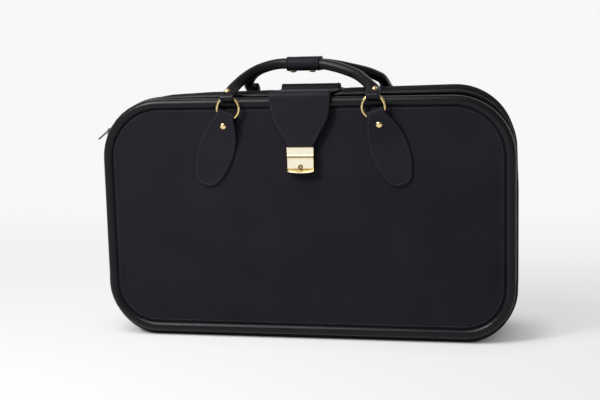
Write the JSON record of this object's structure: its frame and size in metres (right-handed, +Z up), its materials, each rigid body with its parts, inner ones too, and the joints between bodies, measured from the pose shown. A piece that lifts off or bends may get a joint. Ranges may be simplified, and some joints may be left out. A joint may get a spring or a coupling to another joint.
{
  "type": "leather suitcase",
  "caption": "Soft-edged black leather suitcase with a zipped front leaf, rolled piping, a lock flap over the top and ring-hung roll handles tied by a wrap.",
  "frame": {"origin": "middle of the flat strip of the base that the case stands on", "axes": "+Z up, -Y towards the lock side, +X along the width"},
  "size_m": [0.5545, 0.1522, 0.3681],
  "materials": {
    "black_leather": "fine smooth grain, satin",
    "brass": "polished",
    "steel": "plain",
    "zip_metal": "black satin",
    "zip_teeth": "satin",
    "zip_tape": "herringbone weave",
    "lining": "plain weave",
    "board": "pressed fibre board"
  },
  "bodies": {
    "case": {"gusset": "black_leather", "side_lining": "lining", "back_panel": "black_leather", "back_board": "board", "back_lining": "lining", "back_piping": "black_leather", "case_zip_tape": "zip_tape", "case_zip_teeth": "zip_teeth", "hinge_leather": "black_leather", "back_chape_left": "black_leather", "back_chape_right": "black_leather", "back_chape_rivets": "brass", "flap_strap": "black_leather"},
    "front": {"front_panel": "black_leather", "front_board": "board", "front_lining": "lining", "front_piping": "black_leather", "front_zip_tape": "zip_tape", "front_zip_teeth": "zip_teeth", "front_chape_left": "black_leather", "front_chape_right": "black_leather", "front_chape_rivets": "brass", "lock_case": "brass", "lock_backplate": "brass"},
    "flap": {"flap_tongue": "black_leather", "hasp_plate": "brass", "hasp_staple": "brass"},
    "front_rings": {"front_ring_left": "brass", "front_ring_right": "brass"},
    "front_handle": {"front_handle": "black_leather", "front_handle_rivets": "brass", "handle_wrap": "black_leather", "wrap_snaps": "brass"},
    "back_rings": {"back_ring_left": "brass", "back_ring_right": "brass"},
    "back_handle": {"back_handle": "black_leather", "back_handle_rivets": "brass"},
    "key": {"key_plug": "brass"},
    "bolt": {"lock_bolt": "steel"},
    "slider": {"zip_slider": "zip_metal"},
    "pull": {"zip_pull": "zip_metal"}
  },
  "joints": [
    {"name": "front_tilt", "type": "hinge", "parent": "case", "child": "front", "pos_m": [0, -0.064, 0.007], "axis": [1, 0, 0], "range_deg": [0, 16], "deforming": ["flap_tongue", "flap_strap", "hinge_leather", "handle_wrap", "wrap_snaps"]},
    {"name": "flap_lift", "type": "hinge", "parent": "case", "child": "flap", "pos_m": [0, -0.062, 0.3215], "axis": [-1, 0, 0], "range_deg": [0, 96], "deforming": ["flap_tongue", "flap_strap"]},
    {"name": "front_ring_swing", "type": "hinge", "parent": "front", "child": "front_rings", "pos_m": [0, -0.0705, 0.2962], "axis": [1, 0, 0], "range_deg": [0, 90], "deforming": ["handle_wrap", "wrap_snaps"]},
    {"name": "front_handle_swing", "type": "hinge", "parent": "front_rings", "child": "front_handle", "pos_m": [0, -0.0705, 0.3185], "axis": [1, 0, 0], "range_deg": [0, 130], "deforming": ["handle_wrap", "wrap_snaps"]},
    {"name": "back_ring_swing", "type": "hinge", "parent": "case", "child": "back_rings", "pos_m": [0, 0.0705, 0.2962], "axis": [-1, 0, 0], "range_deg": [0, 90], "deforming": ["handle_wrap", "wrap_snaps"]},
    {"name": "back_handle_swing", "type": "hinge", "parent": "back_rings", "child": "back_handle", "pos_m": [0, 0.0705, 0.3185], "axis": [-1, 0, 0], "range_deg": [0, 130], "deforming": ["handle_wrap", "wrap_snaps"]},
    {"name": "key_turn", "type": "hinge", "parent": "front", "child": "key", "pos_m": [0, -0.07, 0.229], "axis": [0, 1, 0], "range_deg": [0, 90]},
    {"name": "bolt_slide", "type": "slide", "parent": "front", "child": "bolt", "axis": [-1, 0, 0], "range_m": [0, 0.004]},
    {"name": "slider_run", "type": "hinge", "parent": "case", "child": "slider", "pos_m": [-0.192, -0.0515, 0.239], "axis": [0, 1, 0], "range_deg": [0, 60]},
    {"name": "pull_swing", "type": "hinge", "parent": "slider", "child": "pull", "pos_m": [-0.26506, -0.0515, 0.27623], "axis": [0, 1, 0], "range_deg": [-15, 80]}
  ],
  "couplings": [
    {"joint": "flap_lift", "follows": "front_tilt", "ratio": 6},
    {"joint": "key_turn", "follows": "bolt_slide", "rad_per_m": 392.7}
  ]
}
